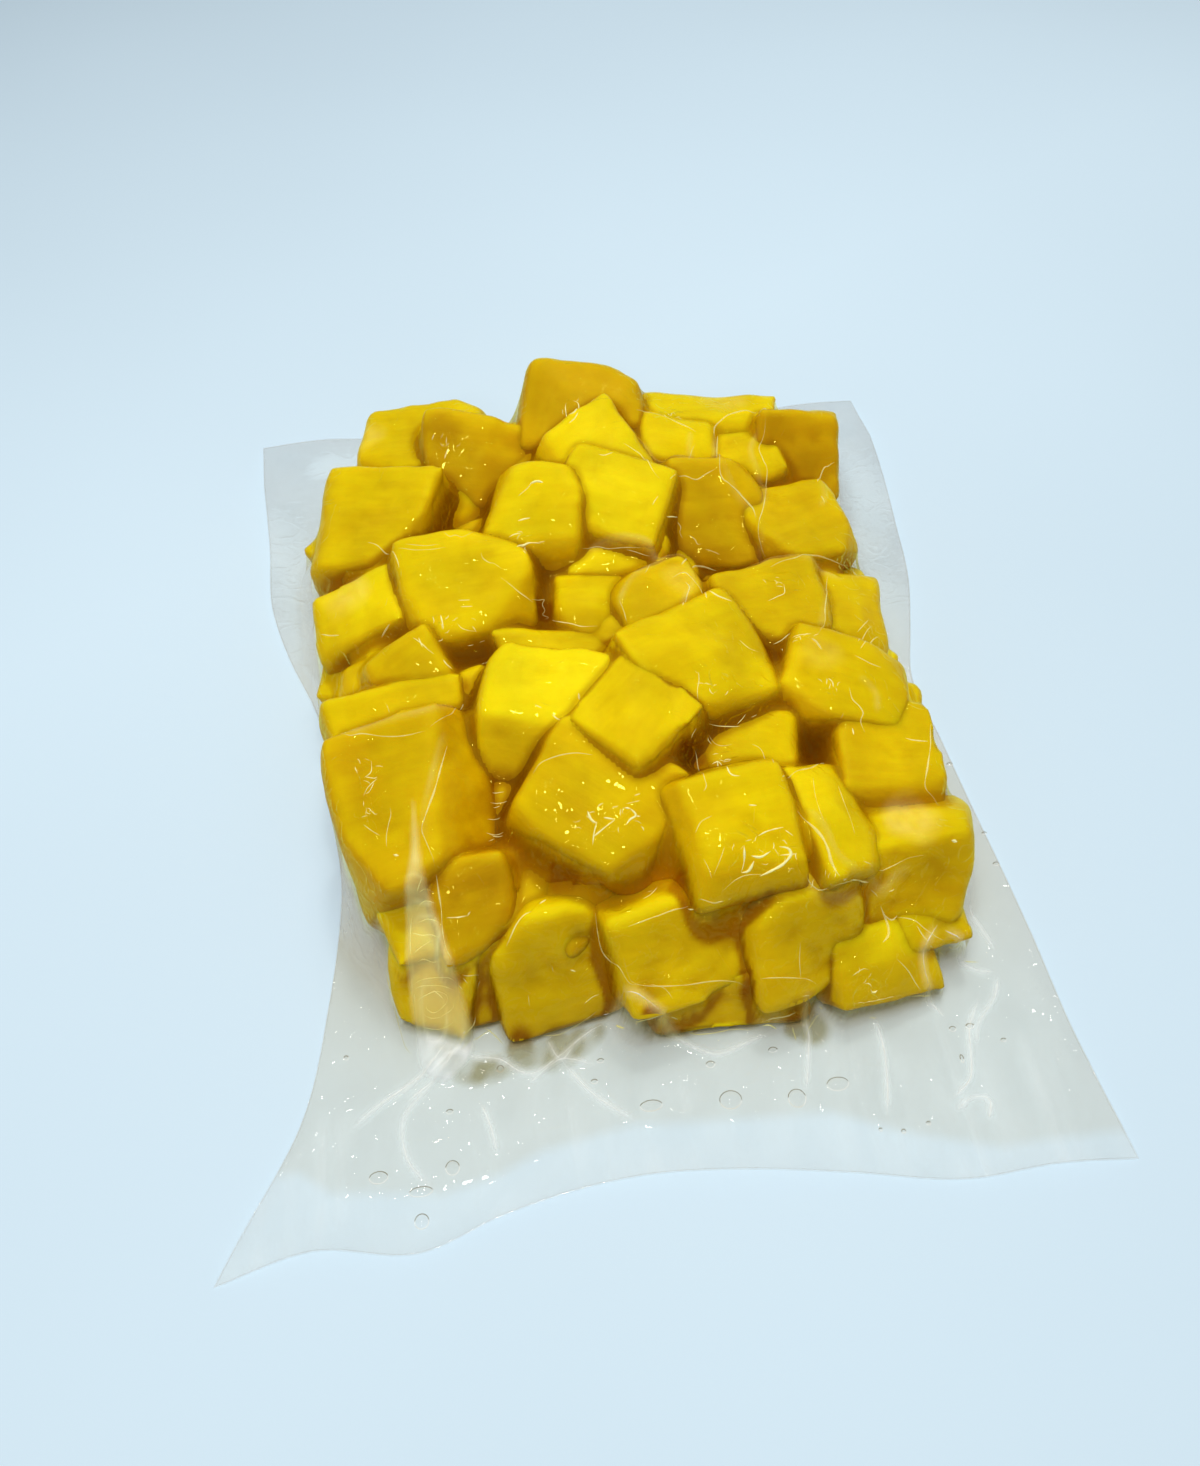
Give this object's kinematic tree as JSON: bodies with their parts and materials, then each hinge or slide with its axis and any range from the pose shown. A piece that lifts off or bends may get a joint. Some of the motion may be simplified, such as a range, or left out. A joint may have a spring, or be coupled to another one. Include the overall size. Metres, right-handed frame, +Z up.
{
  "type": "vacuum-packed mango chunks",
  "caption": "Clear vacuum-sealed pouch lying flat, its film drawn tight over a heap of frozen mango chunks, with a wavy sealed margin all round.",
  "frame": {"origin": "on the surface the pouch lies on, under the middle of its outline", "axes": "+X to the right across the pouch, +Y along its length to the back edge, +Z up out of the surface"},
  "size_m": [0.2, 0.25, 0.0467],
  "materials": {
    "mango": "moist frozen fruit flesh, deep yellow, satin",
    "film": "thin clear glossy plastic film, creased"
  },
  "bodies": {
    "root": {"mango_heap": "mango", "pouch_film": "film"}
  },
  "joints": []
}
